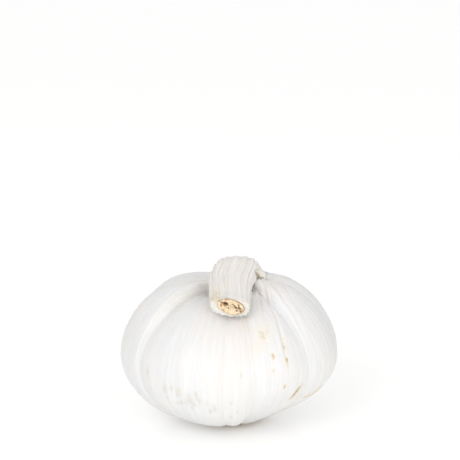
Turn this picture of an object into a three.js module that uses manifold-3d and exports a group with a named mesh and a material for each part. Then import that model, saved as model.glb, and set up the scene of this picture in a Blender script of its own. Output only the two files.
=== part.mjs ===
// A bulb of garlic: nine cloves in one white papery skin, with the dry neck folded forward over
// the front cloves and cut off, the dry stalk seen in the cut, and the root plate below with its
// trimmed roots. Millimetres, +Z up, the front is -Y, and the bulb stands on the flat face of its
// root plate, whose middle is the origin.
import * as THREE from 'three';
import { mergeVertices } from 'three/addons/utils/BufferGeometryUtils.js';
import Module from 'manifold-3d';

const wasm = await Module();
wasm.setup();

const { smoothstep, degToRad } = THREE.MathUtils;

// Driving dimensions
const BULB_WIDTH = 60;
const SHOULDER_HEIGHT = 39.4;
const NECK_FOLD_RADIUS = 3.8;
const NECK_STRAIGHT = 17.8;
const NECK_TURN = 107;
const PLATE_RADIUS = 7.9;
const GAP = 0.4;

const BULB_RADIUS = BULB_WIDTH / 2;

// The cloves, from the front one round to the right. An azimuth is 0 at the front and grows to
// the right. seam is where the clove's left furrow runs, bulge is how round it swells between its
// furrows, and the rest are its differences from the mean form: crest is how much higher its
// shoulder is, base how much higher its underside is, and proud how far its side stands out.
const CLOVES = [
  { seam: -57, bulge: 0.95, crest: -1.5, base: -0.9, proud: -0.3 },
  { seam: -4, bulge: 0.75, crest: -2.4, base: -0.7, proud: -0.3 },
  { seam: 13, bulge: 0.85, crest: -1.4, base: 1.0, proud: 0.0 },
  { seam: 46, bulge: 0.95, crest: 1.0, base: 1.1, proud: 0.3 },
  { seam: 88, bulge: 0.9, crest: 1.4, base: 0.5, proud: 0.2 },
  { seam: 130, bulge: 0.9, crest: 0.7, base: 0.3, proud: 0.2 },
  { seam: 172, bulge: 0.85, crest: 0.3, base: 0.3, proud: 0.0 },
  { seam: 214, bulge: 0.95, crest: 1.0, base: -0.6, proud: 0.2 },
  { seam: 258, bulge: 0.95, crest: 1.2, base: -1.4, proud: 0.1 },
];
const MEAN_CLOVE_WIDTH = 45;

// The mean outline of the cloves from the root plate up to the neck's foot, as shares of the
// bulb's radius and of the shoulder's height.
const OUTLINE = [
  [0.277, 0.025], [0.4, 0.048], [0.617, 0.122], [0.817, 0.228], [0.953, 0.365], [0.997, 0.508],
  [0.95, 0.66], [0.823, 0.812], [0.63, 0.928], [0.43, 0.978], [0.297, 0.976], [0.233, 1.0],
];

// The neck's section is an oval, half its width by half its depth: at its foot, past the fold
// and at the cut. Past the fold the oval is squarer. The neck leans to the left and rolls a
// little on its way, and crestShare is how much its foot follows the cloves' crests.
const NECK = {
  foot: [7.0, 6.4],
  fold: [6.0, 3.0],
  cut: [5.3, 2.95],
  squareness: 0.2,
  middle: [2.0, 0.5],
  rise: 0.3,
  lean: -2.0,
  roll: -10,
  crestShare: 0.45,
};
const NECK_ARC = NECK_FOLD_RADIUS * degToRad(NECK_TURN);
const NECK_LENGTH = NECK.rise + NECK_ARC + NECK_STRAIGHT;

// How far along the neck, in millimetres from its foot, each of its changes begins and ends
const ALONG_NECK = {
  flattens: [0, 6.5],
  tapers: [7, NECK_LENGTH],
  leans: [3, 16],
  rolls: [4, NECK_LENGTH],
  crestEnds: [0, 3],
};

// Where the forms of the cloves begin and end, as shares of the way from the root plate to the
// neck's foot
const ALONG_CLOVES = {
  furrowsBegin: [0, 0.15],
  lowPartEnds: [0, 0.38],
  shoulderBegins: [0.42, 0.72],
  shoulderEnds: [0.78, 1],
  sideBegins: [0.1, 0.35],
  sideEnds: [0.8, 1],
  baseBegins: [0.02, 0.2],
  baseEnds: [0.25, 0.5],
  crestBegins: [0.45, 0.8],
  crestSinks: [0.9, 1],
  neckBegins: [0.72, 1],
  pleatsBegin: [0.78, 1],
};
const CREST_SINKS_BY = 0.55;

// How deep the furrows are everywhere, and how much deeper in the low part and on the shoulder.
// At the back they are atBack times as deep, which fades between two distances in degrees from
// the middle of the back.
const FURROW = { depth: 1.3, lowPart: 0.6, shoulder: 0.9, atBack: 1.5, backFades: [45, 85] };
const MEAN_SWELL = 0.8;
const ARCH_POWER = 0.75;

// Over how many degrees at each side of a furrow two cloves' values blend
const BLEND = { proud: 3, crest: 3.5, base: 6 };

// The pleats that gather the skin into the neck
const PLEAT_ANGLE = 17;
const PLEAT_DEPTH = 0.18;
const PLEAT_SHARE_AT_CUT = 0.6;
const COLUMNS_PER_PLEAT = 4;

// The dry stalk in the cut end of the neck
const STALK = { half: [3.9, 2.15], roll: -20, offset: 0.25, deep: 2.6, sunk: 0.2, bevel: 0.25 };
const STALK_COLUMNS = 28;
const STALK_HOLES = [
  { at: [-1.46, 0.15], radius: 0.6, deep: 1.2 },
  { at: [1.45, -0.1], radius: 0.45, deep: 1.2 },
  { at: [2.6, 0.0], radius: 0.32, deep: 1.0 },
];
const HOLE_SIDES = 9;
const HOLE_TAPER = 0.7;
const MOUTH_GAP = 0.3;

// The root plate and its trimmed roots
const PLATE = { face: 4.6, waist: 5.2, hollow: 0.8, edge: 1.2, top: 2.3, bevel: 0.7 };
const PLATE_COLUMNS = 36;
const ROOT_RINGS = [
  { count: 19, foot: 4.3, end: 5.7, radius: 0.5 },
  { count: 27, foot: 5.5, end: 7.2, radius: 0.48 },
];
const ROOT_START = 1.7;
const ROOT_TAPER = 0.9;
const ROOT_SIDES = 5;
const ROOT_SEED = 7;

// How much the roots differ: in place and lean by up to half of uneven, in thickness as shares,
// and in the height at which they were trimmed
const ROOT_SPREAD = { uneven: 0.5, thickness: [0.85, 1.15], trimmed: [-0.25, 0.35] };

const BODY_RINGS = 27;
const NECK_RINGS = 15;

// How far a change that begins and ends at two limits has gone, from 0 to 1
function progress(value, [begins, ends]) {
  return smoothstep(value, begins, ends);
}

// Which clove an azimuth lies in, and how far across it, from 0 to 1
function cloveAt(azimuth) {
  const first = CLOVES[0].seam;
  const turned = THREE.MathUtils.euclideanModulo(azimuth - first + 1e-9, 360) + first;
  let index = CLOVES.length - 1;
  while (CLOVES[index].seam > turned) index -= 1;
  const width = cloveWidth(index);
  return { index, width, across: (turned - CLOVES[index].seam) / width };
}

function cloveWidth(index) {
  const next = index + 1 < CLOVES.length ? CLOVES[index + 1].seam : CLOVES[0].seam + 360;
  return next - CLOVES[index].seam;
}

// A clove's own value, blended into its neighbours' near each furrow
function cloveValue(key, azimuth) {
  const { index, width, across } = cloveAt(azimuth);
  const blend = BLEND[key];
  const before = CLOVES[(index + CLOVES.length - 1) % CLOVES.length][key];
  const after = CLOVES[(index + 1) % CLOVES.length][key];
  const shareBefore = 1 - smoothstep(across * width, -blend, blend);
  const shareAfter = 1 - smoothstep((1 - across) * width, -blend, blend);
  return CLOVES[index][key] * (1 - shareBefore - shareAfter) + before * shareBefore + after * shareAfter;
}

// How far the clove swells at an azimuth: 0 in the furrows, about 1 on its back
function swell(azimuth) {
  const { index, width, across } = cloveAt(azimuth);
  const arch = Math.sin(Math.PI * THREE.MathUtils.clamp(across, 0, 1)) ** ARCH_POWER;
  return arch * CLOVES[index].bulge * Math.sqrt(width / MEAN_CLOVE_WIDTH);
}

// The pleats across one clove's share of the neck, from -1 in the grooves to 1 on the ridges
function pleat(azimuth) {
  const { width, across } = cloveAt(azimuth);
  return -Math.cos(2 * Math.PI * Math.round(width / PLEAT_ANGLE) * across);
}

const outline = new THREE.SplineCurve(
  OUTLINE.map(([r, z]) => new THREE.Vector2(r * BULB_RADIUS, z * SHOULDER_HEIGHT)),
);

// A point of the cloves' surface. u runs from 0 at the root plate to 1 at the neck's foot.
function bodyPoint(u, azimuth) {
  const mean = outline.getPoint(u);
  const along = ALONG_CLOVES;
  const toNeck = progress(u, along.neckBegins);
  const low = 1 - progress(u, along.lowPartEnds);
  const high = progress(u, along.shoulderBegins) * (1 - progress(u, along.shoulderEnds));
  const depth = FURROW.depth + FURROW.lowPart * low + FURROW.shoulder * high;
  const atBack = 1 - progress(Math.abs(azimuth - 180), FURROW.backFades);
  const deeper = 1 + (FURROW.atBack - 1) * atBack;
  const furrow = depth * deeper * progress(u, along.furrowsBegin) * (1 - toNeck);
  const side = progress(u, along.sideBegins) * (1 - progress(u, along.sideEnds));
  const under = progress(u, along.baseBegins) * (1 - progress(u, along.baseEnds));
  const over = progress(u, along.crestBegins) * (1 - CREST_SINKS_BY * progress(u, along.crestSinks));
  const radius = mean.x
    + furrow * (swell(azimuth) - MEAN_SWELL)
    + side * cloveValue('proud', azimuth)
    + PLEAT_DEPTH * pleat(azimuth) * progress(u, along.pleatsBegin);
  const flatten = 1 - toNeck * (1 - NECK.foot[1] / NECK.foot[0]);
  const angle = degToRad(azimuth);
  return new THREE.Vector3(
    NECK.middle[0] * toNeck + radius * Math.sin(angle),
    NECK.middle[1] * toNeck - radius * Math.cos(angle) * flatten,
    mean.y + over * cloveValue('crest', azimuth) + under * cloveValue('base', azimuth),
  );
}

// The neck's own frame at a length along its middle line: it rises, folds forward and runs on
// straight, a little downwards.
function neckFrame(along) {
  const turn = degToRad(NECK_TURN);
  const angle = THREE.MathUtils.clamp((along - NECK.rise) / NECK_FOLD_RADIUS, 0, turn);
  const straight = Math.max(along - NECK.rise - NECK_ARC, 0);
  const lean = NECK.lean * progress(along, ALONG_NECK.leans);
  return {
    middle: new THREE.Vector3(
      NECK.middle[0] + lean,
      NECK.middle[1] - NECK_FOLD_RADIUS * (1 - Math.cos(angle)) - straight * Math.sin(turn),
      SHOULDER_HEIGHT + Math.min(along, NECK.rise) + NECK_FOLD_RADIUS * Math.sin(angle)
        + straight * Math.cos(turn),
    ),
    upper: new THREE.Vector3(0, Math.cos(angle), Math.sin(angle)),
    forward: new THREE.Vector3(0, -Math.sin(angle), Math.cos(angle)),
  };
}

// A point of a section of the neck, from its place across and its place towards the upper side
function inSection(frame, across, upward, roll) {
  const angle = degToRad(roll);
  const x = across * Math.cos(angle) - upward * Math.sin(angle);
  const y = across * Math.sin(angle) + upward * Math.cos(angle);
  return frame.middle.clone().add(new THREE.Vector3(x, 0, 0)).addScaledVector(frame.upper, y);
}

// A coordinate of an oval made squarer, by a power below 1
function squarer(share, power) {
  return Math.sign(share) * Math.abs(share) ** power;
}

// A point of the neck's surface. along is the length from its foot.
function neckPoint(along, azimuth) {
  const flattened = progress(along, ALONG_NECK.flattens);
  const tapered = progress(along, ALONG_NECK.tapers);
  const pleats = PLEAT_DEPTH * pleat(azimuth) * (1 - (1 - PLEAT_SHARE_AT_CUT) * tapered);
  const half = NECK.foot.map((foot, k) => {
    const fold = NECK.fold[k];
    return foot + (fold - foot) * flattened + (NECK.cut[k] - fold) * tapered + pleats;
  });
  const angle = degToRad(azimuth);
  const power = 1 - NECK.squareness * flattened;
  const across = half[0] * squarer(Math.sin(angle), power);
  const upward = -half[1] * squarer(Math.cos(angle), power);
  const roll = NECK.roll * progress(along, ALONG_NECK.rolls);
  const point = inSection(neckFrame(along), across, upward, roll);
  point.z += NECK.crestShare * cloveValue('crest', azimuth) * (1 - progress(along, ALONG_NECK.crestEnds));
  return point;
}

// The azimuths of the grid: each clove has the same columns for each of its pleats, so that a
// column runs along every furrow.
function gridAzimuths() {
  const azimuths = [];
  CLOVES.forEach((clove, index) => {
    const width = cloveWidth(index);
    const columns = Math.round(width / PLEAT_ANGLE) * COLUMNS_PER_PLEAT;
    for (let k = 0; k < columns; k += 1) azimuths.push(clove.seam + (width * k) / columns);
  });
  return azimuths;
}

// A closed solid from rings of points, with a middle point to close each end
function closedRings(first, rings, last) {
  const count = rings[0].length;
  const points = [first, ...rings.flat(), last];
  const end = points.length - 1;
  const index = [];
  for (let k = 0; k < count; k += 1) {
    const next = (k + 1) % count;
    index.push(0, 1 + next, 1 + k);
    for (let ring = 0; ring + 1 < rings.length; ring += 1) {
      const low = 1 + ring * count;
      const high = low + count;
      index.push(low + k, low + next, high + next, low + k, high + next, high + k);
    }
    const top = 1 + (rings.length - 1) * count;
    index.push(top + k, top + next, end);
  }
  const places = points.flatMap((point) => point.toArray());
  const geometry = new THREE.BufferGeometry();
  geometry.setAttribute('position', new THREE.Float32BufferAttribute(places, 3));
  geometry.setIndex(index);
  geometry.computeVertexNormals();
  return geometry;
}

// An oval of the cut end of the neck, set back from the cut along the neck
function cutOval(azimuths, half, roll, offset, back) {
  const frame = neckFrame(NECK_LENGTH);
  frame.middle.addScaledVector(frame.forward, -back);
  return azimuths.map((azimuth) => {
    const angle = degToRad(azimuth);
    return inSection(frame, offset + half[0] * Math.sin(angle), -half[1] * Math.cos(angle), roll);
  });
}

// The bulb: the cloves in their skin and the folded neck, with a plain hollow below for the root
// plate and one in the neck's cut end for the stalk
function makeBulb() {
  const azimuths = gridAzimuths();
  const rings = [];
  const hollow = PLATE.top + GAP;
  const rim = outline.getPoint(0).x;
  rings.push(azimuths.map((azimuth) => new THREE.Vector3(
    rim * Math.sin(degToRad(azimuth)),
    -rim * Math.cos(degToRad(azimuth)),
    hollow,
  )));
  for (let k = 0; k <= BODY_RINGS; k += 1) {
    rings.push(azimuths.map((azimuth) => bodyPoint(k / BODY_RINGS, azimuth)));
  }
  for (let k = 1; k <= NECK_RINGS; k += 1) {
    rings.push(azimuths.map((azimuth) => neckPoint((NECK_LENGTH * k) / NECK_RINGS, azimuth)));
  }
  const mouth = STALK.half.map((half) => half + MOUTH_GAP);
  const floor = STALK.sunk + STALK.deep + GAP;
  rings.push(cutOval(azimuths, mouth, STALK.roll, STALK.offset, 0));
  rings.push(cutOval(azimuths, mouth, STALK.roll, STALK.offset, floor));
  const end = neckFrame(NECK_LENGTH);
  const last = inSection(end, STALK.offset, 0, STALK.roll).addScaledVector(end.forward, -floor);
  return closedRings(new THREE.Vector3(0, 0, hollow), rings, last);
}

// Manifold solids from closed geometries, and back
function toSolid(geometry) {
  const bare = geometry.clone();
  bare.deleteAttribute('normal');
  bare.deleteAttribute('uv');
  const merged = mergeVertices(bare);
  return new wasm.Manifold(new wasm.Mesh({
    numProp: 3,
    vertProperties: new Float32Array(merged.attributes.position.array),
    triVerts: new Uint32Array(merged.index.array),
  }));
}

function toGeometry(solid) {
  const mesh = solid.getMesh();
  const geometry = new THREE.BufferGeometry();
  geometry.setAttribute('position', new THREE.BufferAttribute(mesh.vertProperties, 3));
  geometry.setIndex(new THREE.BufferAttribute(mesh.triVerts, 1));
  geometry.computeVertexNormals();
  return geometry;
}

// A straight round bar between two points, with few sides
function bar(from, to, radiusFrom, radiusTo, sides) {
  const way = to.clone().sub(from);
  const geometry = new THREE.CylinderGeometry(radiusTo, radiusFrom, way.length(), sides);
  const turn = new THREE.Quaternion();
  turn.setFromUnitVectors(new THREE.Vector3(0, 1, 0), way.clone().normalize());
  geometry.applyQuaternion(turn);
  geometry.translate(...from.clone().add(to).multiplyScalar(0.5).toArray());
  return geometry;
}

// The dry stalk: a rounded oval plug in the neck's cut end, with the hollows of its dried pith
function makeStalkCore() {
  const around = Array.from({ length: STALK_COLUMNS }, (_, k) => (360 * k) / STALK_COLUMNS);
  const { half, roll, offset, sunk, deep, bevel } = STALK;
  const edge = half.map((h) => h - bevel);
  const rings = [
    cutOval(around, edge, roll, offset, sunk + deep),
    cutOval(around, half, roll, offset, sunk + deep - bevel),
    cutOval(around, half, roll, offset, sunk + bevel),
    cutOval(around, edge, roll, offset, sunk),
  ];
  const end = neckFrame(NECK_LENGTH);
  const middle = (back) => inSection(end, offset, 0, roll).addScaledVector(end.forward, -back);
  let solid = toSolid(closedRings(middle(sunk + deep), rings, middle(sunk)));
  for (const hole of STALK_HOLES) {
    const mouth = inSection(end, offset + hole.at[0], hole.at[1], roll);
    const outside = mouth.clone().addScaledVector(end.forward, 1);
    const inside = mouth.clone().addScaledVector(end.forward, -sunk - hole.deep);
    const pit = bar(outside, inside, hole.radius, hole.radius * HOLE_TAPER, HOLE_SIDES);
    solid = solid.subtract(toSolid(pit));
  }
  return toGeometry(solid);
}

// A small repeatable random source, so that the roots come out the same each time
function randomSource(seed) {
  let state = seed;
  return () => {
    state = (state * 16807) % 2147483647;
    return state / 2147483647;
  };
}

// The root plate: a low disc with the flat face that the bulb stands on, a hollow round that
// face, and two rings of roots that lean outwards and were trimmed level with it
function makeRootPlate() {
  const { face, waist, hollow, edge, top, bevel } = PLATE;
  const profile = [
    [0, 0], [face, 0], [waist, hollow], [PLATE_RADIUS - bevel, hollow + bevel / 4],
    [PLATE_RADIUS, edge], [PLATE_RADIUS, top - bevel / 2], [PLATE_RADIUS - bevel, top], [0, top],
  ].map(([r, z]) => new THREE.Vector2(r, z));
  const disc = new THREE.LatheGeometry(profile, PLATE_COLUMNS).rotateX(Math.PI / 2);
  let solid = toSolid(disc);
  const random = randomSource(ROOT_SEED);
  const between = ([least, most]) => least + (most - least) * random();
  const uneven = () => ROOT_SPREAD.uneven * (random() - 0.5);
  for (const ring of ROOT_RINGS) {
    for (let k = 0; k < ring.count; k += 1) {
      const angle = (2 * Math.PI * (k + uneven())) / ring.count;
      const outwards = new THREE.Vector3(Math.cos(angle), Math.sin(angle), 0);
      const thick = ring.radius * between(ROOT_SPREAD.thickness);
      const from = outwards.clone().multiplyScalar(ring.foot).setZ(ROOT_START);
      const to = outwards.clone().multiplyScalar(ring.end + uneven());
      to.setZ(between(ROOT_SPREAD.trimmed));
      solid = solid.add(toSolid(bar(from, to, thick, thick * ROOT_TAPER, ROOT_SIDES)));
    }
  }
  const slab = new THREE.BoxGeometry(4 * PLATE_RADIUS, 4 * PLATE_RADIUS, 2 * top);
  slab.translate(0, 0, top);
  return toGeometry(solid.intersect(toSolid(slab)));
}

const skin = new THREE.MeshStandardMaterial({ color: 0xf2efea, roughness: 0.45, metalness: 0 });
const dryStalk = new THREE.MeshStandardMaterial({ color: 0xc79a5b, roughness: 0.85, metalness: 0 });
const dryRoot = new THREE.MeshStandardMaterial({ color: 0xb99b72, roughness: 0.9, metalness: 0 });

function named(name, geometry, material) {
  const mesh = new THREE.Mesh(geometry, material);
  mesh.name = name;
  return mesh;
}

const garlic = new THREE.Group();
garlic.add(named('bulb', makeBulb(), skin));
garlic.add(named('stalk_core', makeStalkCore(), dryStalk));
garlic.add(named('root_plate', makeRootPlate(), dryRoot));

export default garlic;
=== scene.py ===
import math

import bpy
import numpy as np
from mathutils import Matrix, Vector


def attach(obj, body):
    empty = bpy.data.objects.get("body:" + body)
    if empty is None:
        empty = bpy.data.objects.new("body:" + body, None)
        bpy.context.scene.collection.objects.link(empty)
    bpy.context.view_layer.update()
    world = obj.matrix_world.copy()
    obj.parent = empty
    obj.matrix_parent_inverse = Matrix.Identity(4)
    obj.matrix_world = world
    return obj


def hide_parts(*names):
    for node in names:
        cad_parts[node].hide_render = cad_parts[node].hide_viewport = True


# A bulb of garlic: the skin over its cloves with its veins, pleats, creases and torn flaps, the
# dry stalk in the cut end of its neck, and the root plate with its trimmed roots. Forms are
# worked out in millimetres and degrees, and go into the meshes in metres. A place on the skin is
# an azimuth, 0 at the front and 90 at the right, and a way, 0 at the root plate and 1 at the cut.

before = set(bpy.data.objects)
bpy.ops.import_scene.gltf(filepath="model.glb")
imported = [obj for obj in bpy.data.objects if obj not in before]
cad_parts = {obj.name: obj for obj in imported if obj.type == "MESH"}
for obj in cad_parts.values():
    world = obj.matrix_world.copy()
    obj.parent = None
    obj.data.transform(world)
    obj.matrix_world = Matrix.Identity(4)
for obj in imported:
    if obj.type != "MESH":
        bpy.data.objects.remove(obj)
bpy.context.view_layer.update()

MM = 0.001

# Driving sizes, the same as those of the solids
BULB_WIDTH = 60.0
SHOULDER_HEIGHT = 39.4
FOLD_RADIUS = 3.8
NECK_STRAIGHT = 17.8
NECK_TURN = math.radians(107)
PLATE_RADIUS = 7.9
PLATE_TOP = 2.3

BULB_RADIUS = BULB_WIDTH / 2
FRONT_SEAM = -57.0

# The cloves from the front one round to the right: where the furrow at the clove's left runs,
# how round the clove swells, how much higher its shoulder and its underside are than the mean,
# and how far its side stands out
SEAM = np.array([-57.0, -4.0, 13.0, 46.0, 88.0, 130.0, 172.0, 214.0, 258.0])
BULGE = np.array([0.95, 0.75, 0.85, 0.95, 0.9, 0.9, 0.85, 0.95, 0.95])
CREST = np.array([-1.5, -2.4, -1.4, 1.0, 1.4, 0.7, 0.3, 1.0, 1.2])
BASE = np.array([-0.9, -0.7, 1.0, 1.1, 0.5, 0.3, 0.3, -0.6, -1.4])
PROUD = np.array([-0.3, -0.3, 0.0, 0.3, 0.2, 0.2, 0.0, 0.2, 0.1])
CLOVE_WIDTH = np.diff(np.append(SEAM, FRONT_SEAM + 360))
MEAN_CLOVE_WIDTH = 45.0
MEAN_SWELL = 0.8

# The furrows' depth at the bulb's middle, and how much more it is low down and by the neck
FURROW_DEPTH = 1.3
FURROW_LOW = 0.6
FURROW_HIGH = 0.9
FURROW_BEHIND = 1.5

# The mean outline of the cloves from the root plate to the neck's foot
OUTLINE = np.array([
    (0.277, 0.025), (0.4, 0.048), (0.617, 0.122), (0.817, 0.228), (0.953, 0.365), (0.997, 0.508),
    (0.95, 0.66), (0.823, 0.812), (0.63, 0.928), (0.43, 0.978), (0.297, 0.976), (0.233, 1.0),
]) * (BULB_RADIUS, SHOULDER_HEIGHT)

# The neck: half its width and half its depth at its foot, past the fold and at the cut
NECK_FOOT = (7.0, 6.4)
NECK_FOLD = (6.0, 3.0)
NECK_CUT = (5.3, 2.95)
NECK_SQUARENESS = 0.2
NECK_MIDDLE = (2.0, 0.5)
NECK_RISE = 0.3
NECK_LEAN = -2.0
NECK_ROLL = math.radians(-10)
NECK_ARC = FOLD_RADIUS * NECK_TURN
NECK_LENGTH = NECK_RISE + NECK_ARC + NECK_STRAIGHT
PLEAT_ANGLE = 17.0
PLEAT_DEPTH = 0.18

# The dry stalk in the neck's cut end, and the mouth of the skins that hold it
STALK_HALF = (3.95, 2.36)
STALK_OFFSET = 0.25
STALK_ROLL = math.radians(-20)
MOUTH_DEPTH = 2.6
MOUTH_GRIP = 0.2
MOUTH_SETBACK = 0.15

# The hollow of the skin under the root plate
HOLLOW_TOP = PLATE_TOP + 0.4
HOLLOW_DRAW = 1.5

# The fineness of the skin's net
SKIN_COLUMNS = 500
HOLLOW_ROWS = 4
BODY_ROWS = 132
NECK_ROWS = 50
CUT_ROWS = 7


def smooth(value, low, high):
    """A soft step from 0 to 1 as value goes from low to high."""
    share = np.clip((value - low) / (high - low), 0, 1)
    return share * share * (3 - 2 * share)


def bump(distance, width):
    """A soft hump: 1 at distance 0, and near 0 past the width."""
    return np.exp(-((distance / width) ** 2) * 2)


def turn_from(azimuth, other):
    """How far an azimuth lies to the right of another one, from -180 to 180 degrees."""
    return (azimuth - other + 180) % 360 - 180


def round_point(radius, angle, height):
    """The point at a radius from the bulb's axis, at an angle from its front and at a height."""
    return np.stack([radius * np.sin(angle), -radius * np.cos(angle), height + 0 * angle], -1)


# The plain form

def on_outline(share):
    """The point of the mean outline at a share of its knots, on the same curve as the solid's."""
    last = len(OUTLINE) - 1
    spot = share * last
    knot = np.clip(np.floor(spot).astype(int), 0, last - 1)
    part = (spot - knot)[..., None]
    before, start = OUTLINE[np.maximum(knot - 1, 0)], OUTLINE[knot]
    end, after = OUTLINE[knot + 1], OUTLINE[np.minimum(knot + 2, last)]
    leave, arrive = (end - before) / 2, (after - start) / 2
    cubic = 2 * start - 2 * end + leave + arrive
    square = -3 * start + 3 * end - 2 * leave - arrive
    return cubic * part**3 + square * part**2 + leave * part + start


OUTLINE_SHARES = np.linspace(0, 1, 1201)
OUTLINE_CURVE = on_outline(OUTLINE_SHARES)
OUTLINE_STEPS = np.hypot(*np.diff(OUTLINE_CURVE, axis=0).T)
OUTLINE_LENGTHS = np.concatenate([[0], np.cumsum(OUTLINE_STEPS)])
SKIN_LENGTH = OUTLINE_LENGTHS[-1] + NECK_LENGTH
FOOT_WAY = OUTLINE_LENGTHS[-1] / SKIN_LENGTH


def clove_at(azimuth):
    """Which clove an azimuth lies in, and how far across it, from 0 to 1."""
    turned = (azimuth - FRONT_SEAM + 1e-9) % 360 + FRONT_SEAM
    index = np.searchsorted(SEAM, turned, side="right") - 1
    return index, (turned - SEAM[index]) / CLOVE_WIDTH[index]


def clove_value(values, azimuth, blend):
    """Each clove's own value, blended into its neighbours' within blend degrees of a furrow."""
    index, across = clove_at(azimuth)
    width = CLOVE_WIDTH[index]
    before = 1 - smooth(across * width, -blend, blend)
    after = 1 - smooth((1 - across) * width, -blend, blend)
    own = values[index] * (1 - before - after)
    return own + values[index - 1] * before + values[(index + 1) % len(values)] * after


def swell(azimuth):
    """How far the clove swells at an azimuth: 0 in the furrows, about 1 on its back."""
    index, across = clove_at(azimuth)
    arch = np.sin(np.pi * np.clip(across, 0, 1)) ** 0.75
    return arch * BULGE[index] * np.sqrt(CLOVE_WIDTH[index] / MEAN_CLOVE_WIDTH)


def pleat(azimuth):
    """The broad pleats of the neck, from -1 in the grooves to 1 on the ridges."""
    index, across = clove_at(azimuth)
    return -np.cos(2 * np.pi * np.round(CLOVE_WIDTH[index] / PLEAT_ANGLE) * across)


def body_point(way, azimuth):
    """A point of the cloves' plain surface, where way is below FOOT_WAY."""
    share = np.interp(way * SKIN_LENGTH, OUTLINE_LENGTHS, OUTLINE_SHARES)
    mean = on_outline(share)
    to_neck = smooth(share, 0.72, 1)
    low = 1 - smooth(share, 0, 0.38)
    high = smooth(share, 0.42, 0.72) * (1 - smooth(share, 0.78, 1))
    turned = (azimuth - FRONT_SEAM) % 360 + FRONT_SEAM
    behind = FURROW_BEHIND - (FURROW_BEHIND - 1) * smooth(np.abs(turned - 180), 45, 85)
    depth = (FURROW_DEPTH + FURROW_LOW * low + FURROW_HIGH * high) * behind
    furrow = depth * smooth(share, 0, 0.15) * (1 - to_neck)
    side = smooth(share, 0.1, 0.35) * (1 - smooth(share, 0.8, 1))
    under = smooth(share, 0.02, 0.2) * (1 - smooth(share, 0.25, 0.5))
    over = smooth(share, 0.45, 0.8) * (1 - 0.55 * smooth(share, 0.9, 1))
    radius = mean[..., 0] + furrow * (swell(azimuth) - MEAN_SWELL)
    radius = radius + side * clove_value(PROUD, azimuth, 3)
    radius = radius + PLEAT_DEPTH * pleat(azimuth) * smooth(share, 0.78, 1)
    flatten = 1 - to_neck * (1 - NECK_FOOT[1] / NECK_FOOT[0])
    angle = np.radians(azimuth)
    x = NECK_MIDDLE[0] * to_neck + radius * np.sin(angle)
    y = NECK_MIDDLE[1] * to_neck - radius * np.cos(angle) * flatten
    z = mean[..., 1] + over * clove_value(CREST, azimuth, 3.5)
    z = z + under * clove_value(BASE, azimuth, 6)
    return np.stack([x, y, z], -1)


def in_section(along, across, upward, roll):
    """A point of the neck's section at a length along it, from its place across and upward."""
    turn = np.clip((along - NECK_RISE) / FOLD_RADIUS, 0, NECK_TURN)
    straight = np.maximum(along - NECK_RISE - NECK_ARC, 0)
    right = across * np.cos(roll) - upward * np.sin(roll)
    rise = across * np.sin(roll) + upward * np.cos(roll)
    middle_x = NECK_MIDDLE[0] + NECK_LEAN * smooth(along, 3, 16)
    middle_y = NECK_MIDDLE[1] - FOLD_RADIUS * (1 - np.cos(turn)) - straight * math.sin(NECK_TURN)
    middle_z = SHOULDER_HEIGHT + np.minimum(along, NECK_RISE) + FOLD_RADIUS * np.sin(turn)
    middle_z = middle_z + straight * math.cos(NECK_TURN)
    y = middle_y + rise * np.cos(turn)
    z = middle_z + rise * np.sin(turn)
    return np.stack([middle_x + right, y, z], -1)


CUT_FORWARD = np.array([0, -math.sin(NECK_TURN), math.cos(NECK_TURN)])


def squarer(share, power):
    """A coordinate of an oval made squarer, by a power below 1."""
    return np.sign(share) * np.abs(share) ** power


def neck_point(way, azimuth):
    """A point of the neck's plain surface, where way is above FOOT_WAY."""
    along = (way - FOOT_WAY) * SKIN_LENGTH
    folded = smooth(along, 0, 6.5)
    tapered = smooth(along, 7, NECK_LENGTH)
    pleats = PLEAT_DEPTH * pleat(azimuth) * (1 - 0.4 * tapered)
    half = [
        foot + (fold - foot) * folded + (cut - fold) * tapered + pleats
        for foot, fold, cut in zip(NECK_FOOT, NECK_FOLD, NECK_CUT)
    ]
    angle = np.radians(azimuth)
    power = 1 - NECK_SQUARENESS * folded
    across = half[0] * squarer(np.sin(angle), power)
    upward = -half[1] * squarer(np.cos(angle), power)
    roll = NECK_ROLL * smooth(along, 4, NECK_LENGTH)
    point = in_section(along, across, upward, roll)
    point[..., 2] += 0.45 * clove_value(CREST, azimuth, 3.5) * (1 - smooth(along, 0, 3))
    return point


def plain_point(way, azimuth):
    """A point of the plain skin: way is 0 at the root plate and 1 at the neck's cut."""
    body = body_point(np.minimum(way, FOOT_WAY), azimuth)
    neck = neck_point(np.maximum(way, FOOT_WAY), azimuth)
    return np.where((way <= FOOT_WAY)[..., None], body, neck)


def unit(direction):
    """Directions brought to a length of 1."""
    return direction / np.maximum(np.linalg.norm(direction, axis=-1, keepdims=True), 1e-9)


def plain_normal(way, azimuth):
    """The outward direction of the plain skin."""
    step_way, step_azimuth = 0.003, 0.9
    above = plain_point(np.minimum(way + step_way, 1), azimuth)
    below = plain_point(np.maximum(way - step_way, 0), azimuth)
    right = plain_point(way, azimuth + step_azimuth)
    left = plain_point(way, azimuth - step_azimuth)
    return unit(np.cross(right - left, above - below))


# Noise and paths on the skin

def net_noise(seed, around, up, way, azimuth):
    """Smooth noise from 0 to 1 over the skin, from a net of random knots that closes on itself."""
    knots = np.random.default_rng(seed).random((around, up + 2))
    x = (azimuth % 360) / 360 * around
    y = np.clip(way, 0, 1) * up
    column, row = np.floor(x).astype(int), np.floor(y).astype(int)
    side, rise = smooth(x - column, 0, 1), smooth(y - row, 0, 1)
    left, right = column % around, (column + 1) % around
    low = knots[left, row] * (1 - side) + knots[right, row] * side
    high = knots[left, row + 1] * (1 - side) + knots[right, row + 1] * side
    return low * (1 - rise) + high * rise


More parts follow.
